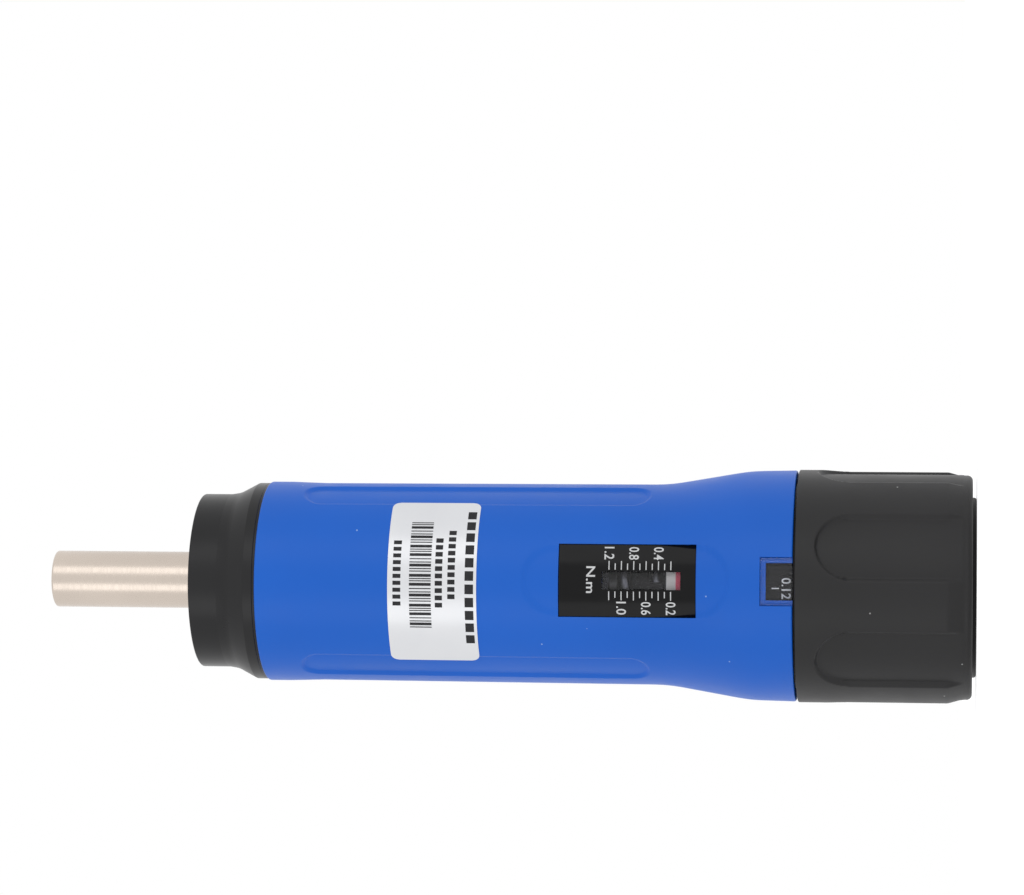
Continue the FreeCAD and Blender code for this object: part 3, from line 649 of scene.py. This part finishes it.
# ---------------------------------------------------------------- scale plate, window and flag
# A curved plate, gloss black, printed in silver white with the marks from 0.2 to 1.2 newton metres. A
# clear strip closes its slot, and the white flag with its red end runs under the strip.
LOWEST_MARK = 96.87
MARK_PITCH = 0.923
MARK_HALF_WIDTH = 0.075
MARK_START = 1.62
LONG_MARK, SHORT_MARK = 1.32, 0.95
SCALE_FIGURE = 4.15
SLOT_HALF_WIDTH = 1.33

scale_plate = curved_block("scale_plate_curved", PLATE_FRONT, PLATE_REAR, PLATE_HALF_WIDTH, PLATE_BOTTOM,
                           PLATE_TOP, 40)
cut_out(scale_plate, curved_block("slot", slot_front, slot_rear, SLOT_HALF_WIDTH, 13, 16))
scale_plate.data.shade_smooth()
scale_plate.data.set_sharp_from_angle(angle=math.radians(35))
scale_window = curved_block("scale_window_clear", slot_front, slot_rear, SLOT_HALF_WIDTH, PLATE_BOTTOM,
                            PLATE_TOP)


def glossy(name, colour, roughness):
    """Smooth moulded or lacquered black with faint waves and hairline marks."""
    material, nodes, links, shader, coords = new_material(name)
    cloud = spread(nodes, links, noise(nodes, links, coords, (160, 160, 160), 4), 0, 1)
    links.new(blend_colours(nodes, links, cloud, colour, tuple(1.5 * part for part in colour)),
              shader.inputs["Base Color"])
    marks = noise(nodes, links, coords, (2500, 900, 300), 3)
    links.new(spread(nodes, links, marks, roughness * 0.7, roughness * 1.5), shader.inputs["Roughness"])
    raised(nodes, links, shader, noise(nodes, links, coords, (220, 220, 220), 2), 4e-6)
    shader.inputs["Specular IOR Level"].default_value = 0.16
    return material


def clear(name, tint):
    """Clear acrylic, faintly scuffed."""
    material, nodes, links, shader, coords = new_material(name)
    shader.inputs["Base Color"].default_value = (*tint, 1)
    shader.inputs["Transmission Weight"].default_value = 1
    shader.inputs["IOR"].default_value = 1.3
    shader.inputs["Specular IOR Level"].default_value = 0.2
    scuffs = noise(nodes, links, coords, (700, 700, 700), 4)
    links.new(spread(nodes, links, scuffs, 0.015, 0.08), shader.inputs["Roughness"])
    return material


plate_black = glossy("plate_black", (0.004, 0.004, 0.0045), 0.14)
clear_acrylic = clear("clear_acrylic", (0.93, 0.94, 0.97))
fit_out(scale_plate, "handle", plate_black, "plate_black", "scale_plate")
fit_out(scale_window, "handle", clear_acrylic, "clear_window", "scale_window")


def plate_surface(x):
    return np.full(np.shape(x), PLATE_TOP)


marks = []
for k in range(11):
    place = LOWEST_MARK - k * MARK_PITCH
    reach = LONG_MARK if k % 2 == 0 else SHORT_MARK
    for side in (1, -1):
        marks.append((place - MARK_HALF_WIDTH, place + MARK_HALF_WIDTH, side * MARK_START,
                      side * (MARK_START + reach)))
scale_ink, scale_nodes, scale_links, scale_shader, scale_coords = new_material("scale_ink")
scale_wear = noise(scale_nodes, scale_links, scale_coords, (800, 800, 800))
scale_links.new(blend_colours(scale_nodes, scale_links, scale_wear, (0.50, 0.51, 0.52), (0.78, 0.79, 0.80)),
                scale_shader.inputs["Base Color"])
scale_shader.inputs["Roughness"].default_value = 0.4
scale_marks = printed_bars("scale_marks", marks, plate_surface, 0.0)
fit_out(scale_marks, "handle", scale_ink, "plate_black")


def lettering(name, words, place, around, height, length, radius):
    """Figures printed on a curved surface: a flat text is made a mesh, stretched to its height along
    the axis and its length round it, and each point is carried over by x = place + up and
    angle = (around - along) / radius."""
    curve = bpy.data.curves.new(name, "FONT")
    curve.body = words
    curve.extrude = 0.004
    curve.offset = 0.012
    curve.resolution_u = 3
    carrier = bpy.data.objects.new(name, curve)
    flat = bpy.data.meshes.new_from_object(carrier)
    points = np.zeros(len(flat.vertices) * 3)
    flat.vertices.foreach_get("co", points)
    points = points.reshape(-1, 3)
    low, high = points.min(0), points.max(0)
    up = ((points[:, 1] - low[1]) / (high[1] - low[1]) - 0.5) * height
    along = ((points[:, 0] - low[0]) / (high[0] - low[0]) - 0.5) * length
    level = radius + INK_LIFT + points[:, 2]
    angle = (around - along) / radius
    curved = np.stack([place + up, level * np.sin(angle), level * np.cos(angle)], 1)
    faces = [list(face.vertices) for face in flat.polygons]
    bpy.data.objects.remove(carrier)
    bpy.data.curves.remove(curve)
    bpy.data.meshes.remove(flat)
    return piece(name, curved, faces)


for k in range(6):
    value = 0.2 + 0.2 * k
    side = SCALE_FIGURE if k % 2 == 1 else -SCALE_FIGURE
    numeral = lettering(f"scale_{round(10 * value):02d}", f"{value:.1f}",
                        LOWEST_MARK - 2 * k * MARK_PITCH, side, 1.5, 1.98, PLATE_TOP)
    fit_out(numeral, "handle", scale_ink, "plate_black")
unit = lettering("scale_unit", "N.m", slot_front - 1.65, 0.1, 1.36, 4.0, PLATE_TOP)
fit_out(unit, "handle", scale_ink, "plate_black")

flag_paint, flag_nodes, flag_links, flag_shader, flag_coords = new_material("flag_paint")
flag_place = flag_nodes.new("ShaderNodeSeparateXYZ")
flag_links.new(flag_coords.outputs["Object"], flag_place.inputs["Vector"])
flag_red = flag_nodes.new("ShaderNodeMapRange")
flag_red.inputs["From Min"].default_value = (TOOL_LENGTH - flag_front - 1.3) * MM
flag_red.inputs["From Max"].default_value = (TOOL_LENGTH - flag_front - 1.5) * MM
flag_links.new(flag_place.outputs["Z"], flag_red.inputs["Value"])
flag_links.new(blend_colours(flag_nodes, flag_links, flag_red.outputs["Result"], (0.55, 0.53, 0.51),
                             (0.55, 0.035, 0.09)), flag_shader.inputs["Base Color"])
flag_shader.inputs["Roughness"].default_value = 0.5
flag_grain = noise(flag_nodes, flag_links, flag_coords, (900, 900, 900))
raised(flag_nodes, flag_links, flag_shader, flag_grain, 2e-5)
dress("indicator_flag", flag_paint)


# ---------------------------------------------------------------- dial ring and its window
# A gloss black ring on the knob's front spigot, printed with a hundredth of a newton metre at each
# mark and a figure at every second one. It shows through a clear window let into the grip's rear edge.
DIAL_FRONT, KNOB_FRONT = stretch("dial_ring")
DIAL_RADIUS = 15.75
DIAL_WALL = 1.5
SPIGOT_RADIUS = 12.0
SPIGOT_FRONT, KNOB_REAR = stretch("knob")
DIAL_FIGURE = math.radians(-3.5)
DIAL_STEP = math.radians(36)
DIAL_FIGURE_VALUE = 0.12
DIAL_MARK_FRONT = 111.9
DIAL_FIGURE_PLACE = 114.05

dial_ring = turned("dial_ring_turned", [
    (KNOB_FRONT, SPIGOT_RADIUS, 0),
    (KNOB_FRONT, DIAL_RADIUS, 0.1),
    (DIAL_FRONT, DIAL_RADIUS, 0.2),
    (DIAL_FRONT, DIAL_RADIUS - DIAL_WALL, 0),
    (SPIGOT_FRONT, DIAL_RADIUS - DIAL_WALL, 0),
    (SPIGOT_FRONT, SPIGOT_RADIUS, 0),
], 180)
dial_black = glossy("dial_black", (0.004, 0.004, 0.0045), 0.22)
fit_out(dial_ring, "knob", dial_black, "dial_black", "dial_ring")


def dial_surface(x):
    return np.full(np.shape(x), DIAL_RADIUS)


dial_bars = []
for k in range(20):
    around = (DIAL_FIGURE - k * DIAL_STEP / 2) * DIAL_RADIUS
    dial_bars.append((DIAL_MARK_FRONT, 113.0 if k % 2 == 0 else 112.6, around - 0.09, around + 0.09))
dial_marks = printed_bars("dial_marks", dial_bars, dial_surface, 0.0)
fit_out(dial_marks, "knob", scale_ink, "dial_black")
for k in range(10):
    value = (DIAL_FIGURE_VALUE + 0.02 * k) % 0.2
    figure = lettering(f"dial_{round(100 * value) % 20:02d}", f"{abs(value):.2f}", DIAL_FIGURE_PLACE,
                       (DIAL_FIGURE - k * DIAL_STEP) * DIAL_RADIUS, 1.4, 3.1, DIAL_RADIUS)
    fit_out(figure, "knob", scale_ink, "dial_black")

dial_lens = curved_block("dial_lens_clear", LENS_FRONT, GRIP_REAR - 0.05, LENS_HALF_WIDTH, LENS_BOTTOM,
                         LENS_TOP)
fit_out(dial_lens, "handle", clear_acrylic, "clear_window", "dial_lens")


# ---------------------------------------------------------------- knob
# The adjusting knob, moulded in dark grey with a fine spark finish: a plain band in front, six shallow
# flutes with round noses, lands that are bevelled down to a rounded rear rim, and inside a hub with a
# hexagonal bore, joined to the shell by six ribs.
KNOB_RADIUS = 17.64
KNOB_NOSE = KNOB_FRONT - 0.2
RIM_RADIUS = 16.95
FLUTE_FLOOR = 17.0
FLUTE_HALF_WIDTH = 5.35
FLUTE_FRONT = KNOB_FRONT + 2.6
FLUTE_CENTRE = math.radians(18)
CAP_RADIUS = 13.6
CAP_FRONT = stretch("end_cap")[0]
HUB_RADIUS = 9.0
SHELL_BORE = 13.0
POCKET_RADIUS = 6.3
TAIL_HALF_WIDTH = 3.5
POCKET_FLOOR = KNOB_FRONT + 11.0
HUB_REAR = KNOB_REAR - 3.4
WEB_REAR = KNOB_FRONT + 3
CAP_CLEARANCE = 0.02
BEVEL_FRONT = KNOB_REAR - 3.6
BEVEL_REAR = KNOB_REAR - 1.2
FLUTE_EASE = 0.5
RIB_HALF_WIDTH = 0.75
RIB_MIDDLE = 11
KNOB_COLUMNS = 480

knob_profile = outline([
    (KNOB_FRONT, DIAL_RADIUS + 0.2, 0),
    (KNOB_NOSE, DIAL_RADIUS + 0.2, 0),
    (KNOB_NOSE, KNOB_RADIUS, 0.2),
    (BEVEL_FRONT, KNOB_RADIUS, 1.6),
    (BEVEL_REAR, RIM_RADIUS, 1.2),
    (KNOB_REAR, RIM_RADIUS, 0.8),
    (KNOB_REAR, 14.5, 0),
], 8)
knob_angles = full_turn(KNOB_COLUMNS)
knob_x = stations(
    (KNOB_FRONT + 0.3, FLUTE_FRONT - 0.1, 0.6),
    (FLUTE_FRONT - 0.1, FLUTE_FRONT + 5.6, 0.16),
    (FLUTE_FRONT + 5.6, KNOB_REAR - 4.6, 1.0),
    (KNOB_REAR - 4.6, KNOB_REAR - 0.85, 0.2),
)
plain_radius = np.interp(knob_x, knob_profile[:, 0], knob_profile[:, 1])
outer_radius = np.repeat(plain_radius[:, None], KNOB_COLUMNS, 1)
for k in range(6):
    off = knob_angles[None, :] - FLUTE_CENTRE - k * math.pi / 3
    across = np.where(np.cos(off) > 0, KNOB_RADIUS * np.sin(off), 99)
    depth = racetrack_depth(knob_x[:, None], across, FLUTE_FRONT, KNOB_REAR + 20, FLUTE_HALF_WIDTH,
                            FLUTE_EASE)
    outer_radius -= depth * np.maximum(outer_radius - FLUTE_FLOOR, 0)
nose = knob_profile[knob_profile[:, 0] < KNOB_FRONT + 0.3]
rim = knob_profile[knob_profile[:, 0] > KNOB_REAR - 0.85]
rib_off = np.abs((knob_angles - FLUTE_CENTRE) % (math.pi / 3) - math.pi / 6)
rib = rib_off * RIB_MIDDLE < RIB_HALF_WIDTH
shell_wall = np.where(rib, HUB_RADIUS + 0.05, SHELL_BORE)
hexagonal_bore = hexagon_reach(knob_angles, TAIL_HALF_WIDTH)
inner_rows = [
    (KNOB_REAR, CAP_RADIUS + CAP_CLEARANCE),
    (CAP_FRONT, CAP_RADIUS + CAP_CLEARANCE),
    (CAP_FRONT, SHELL_BORE),
    (HUB_REAR, SHELL_BORE),
    (HUB_REAR, shell_wall),
    (WEB_REAR, shell_wall),
    (WEB_REAR, HUB_RADIUS),
    (HUB_REAR, HUB_RADIUS),
    (HUB_REAR, POCKET_RADIUS),
    (POCKET_FLOOR, POCKET_RADIUS),
    (POCKET_FLOOR, hexagonal_bore),
    (SPIGOT_FRONT, hexagonal_bore),
    (SPIGOT_FRONT, SPIGOT_RADIUS),
    (KNOB_FRONT, SPIGOT_RADIUS),
]
inner_x = np.array([place for place, reach in inner_rows])
inner_radius = np.stack([np.broadcast_to(reach, KNOB_COLUMNS) for place, reach in inner_rows])
whole_knob_x = np.concatenate([nose[:, 0], knob_x, rim[:, 0], inner_x])
whole_knob_radius = np.concatenate([
    np.repeat(nose[:, 1:], KNOB_COLUMNS, 1), outer_radius,
    np.repeat(rim[:, 1:], KNOB_COLUMNS, 1), inner_radius,
])
knob = rings("knob_moulded", whole_knob_x, whole_knob_radius, knob_angles, 40)
knob_grey = moulded("knob_grey", (0.013, 0.013, 0.0135), (0.020, 0.0195, 0.0205), 0.44, 900, 1.2e-5, 0.10,
                    (0.30, 0.30, 0.30))
fit_out(knob, "knob", knob_grey, "knob_black", "knob")


# ---------------------------------------------------------------- end cap
# A disc that closes the knob's rear and hides its screw, pressed in so that it stands a little proud.
end_cap = turned("end_cap_turned", [
    (CAP_FRONT, 0, 0),
    (CAP_FRONT, CAP_RADIUS, 0),
    (TOOL_LENGTH, CAP_RADIUS, 0.4),
    (TOOL_LENGTH, 0, 0),
], 144)
fit_out(end_cap, "knob", coated("cap_black", (0.010, 0.010, 0.0105), 0.4, 900, 6e-6), "cap_black", "end_cap")


# ---------------------------------------------------------------- table, light and camera
# A white table that the tool stands on, two long soft boxes on either side of the camera, and an even
# studio all round.
TABLE_HALF = 3.0
TABLE_WHITE = (0.85, 0.85, 0.85)
TABLE_LIFT = 0.45
ROOM_LIGHT = 0.8
BOX_WIDTH = 0.3
BOX_LENGTH = 0.7
BOX_DISTANCE = 0.65
BOX_HEIGHT = 0.071
BOX_POWER = 0.55

table_mesh = bpy.data.meshes.new("table")
corners = [(-TABLE_HALF, -TABLE_HALF, 0), (TABLE_HALF, -TABLE_HALF, 0), (TABLE_HALF, TABLE_HALF, 0),
           (-TABLE_HALF, TABLE_HALF, 0)]
table_mesh.from_pydata(corners, [], [(0, 1, 2, 3)])
table = bpy.data.objects.new("table", table_mesh)
bpy.context.scene.collection.objects.link(table)


def seen_directly(nodes, links):
    """1 for rays from the camera and for mirrored or refracted ones, 0 for light scattered elsewhere."""
    path = nodes.new("ShaderNodeLightPath")
    mirrored = nodes.new("ShaderNodeMath")
    mirrored.operation = "MAXIMUM"
    links.new(path.outputs["Is Glossy Ray"], mirrored.inputs[0])
    links.new(path.outputs["Is Transmission Ray"], mirrored.inputs[1])
    seen = nodes.new("ShaderNodeMath")
    seen.operation = "MAXIMUM"
    links.new(path.outputs["Is Camera Ray"], seen.inputs[0])
    links.new(mirrored.outputs["Value"], seen.inputs[1])
    return seen.outputs["Value"]


table_material = bpy.data.materials.new("table_white")
table_material.use_nodes = True
table_tree = table_material.node_tree
table_shader = table_tree.nodes["Principled BSDF"]
table_shader.inputs["Base Color"].default_value = (*TABLE_WHITE, 1)
table_shader.inputs["Roughness"].default_value = 0.9
table_shader.inputs["Emission Color"].default_value = (1, 1, 1, 1)
lift = table_tree.nodes.new("ShaderNodeMath")
lift.operation = "MULTIPLY"
lift.inputs[1].default_value = TABLE_LIFT
table_tree.links.new(seen_directly(table_tree.nodes, table_tree.links), lift.inputs[0])
table_tree.links.new(lift.outputs["Value"], table_shader.inputs["Emission Strength"])
table_mesh.materials.append(table_material)

world = bpy.data.worlds.new("studio")
bpy.context.scene.world = world
world.use_nodes = True
world_tree = world.node_tree
room = world_tree.nodes["Background"]
room.inputs["Color"].default_value = (1, 1, 1, 1)
room_light = world_tree.nodes.new("ShaderNodeMapRange")
room_light.inputs["To Min"].default_value = ROOM_LIGHT
room_light.inputs["To Max"].default_value = 1.0
world_tree.links.new(seen_directly(world_tree.nodes, world_tree.links), room_light.inputs["Value"])
world_tree.links.new(room_light.outputs["Result"], room.inputs["Strength"])


def soft_box(name, lean):
    """Tall area lamp beside the tool, at an angle round its axis from straight in front."""
    lamp = bpy.data.lights.new(name, "AREA")
    lamp.shape = "RECTANGLE"
    lamp.size = BOX_WIDTH
    lamp.size_y = BOX_LENGTH
    lamp.energy = BOX_POWER
    stand = bpy.data.objects.new(name, lamp)
    bpy.context.scene.collection.objects.link(stand)
    stand.location = (BOX_DISTANCE * math.sin(lean), -BOX_DISTANCE * math.cos(lean), BOX_HEIGHT)
    stand.rotation_euler = (math.pi / 2, 0, lean)


soft_box("soft_box_right", math.radians(35))
soft_box("soft_box_left", math.radians(-36))

view = bpy.data.cameras.new("camera")
view.sensor_width = 36
view.lens = 129.17
view.clip_start = 0.01
camera = bpy.data.objects.new("camera", view)
bpy.context.scene.collection.objects.link(camera)
camera.location = (-0.019295, -0.559753, 0.0025)
camera.rotation_euler = (math.radians(177.4496), math.radians(83.0343), math.radians(83.3288))
bpy.context.scene.camera = camera
bpy.context.scene.view_settings.view_transform = "Standard"
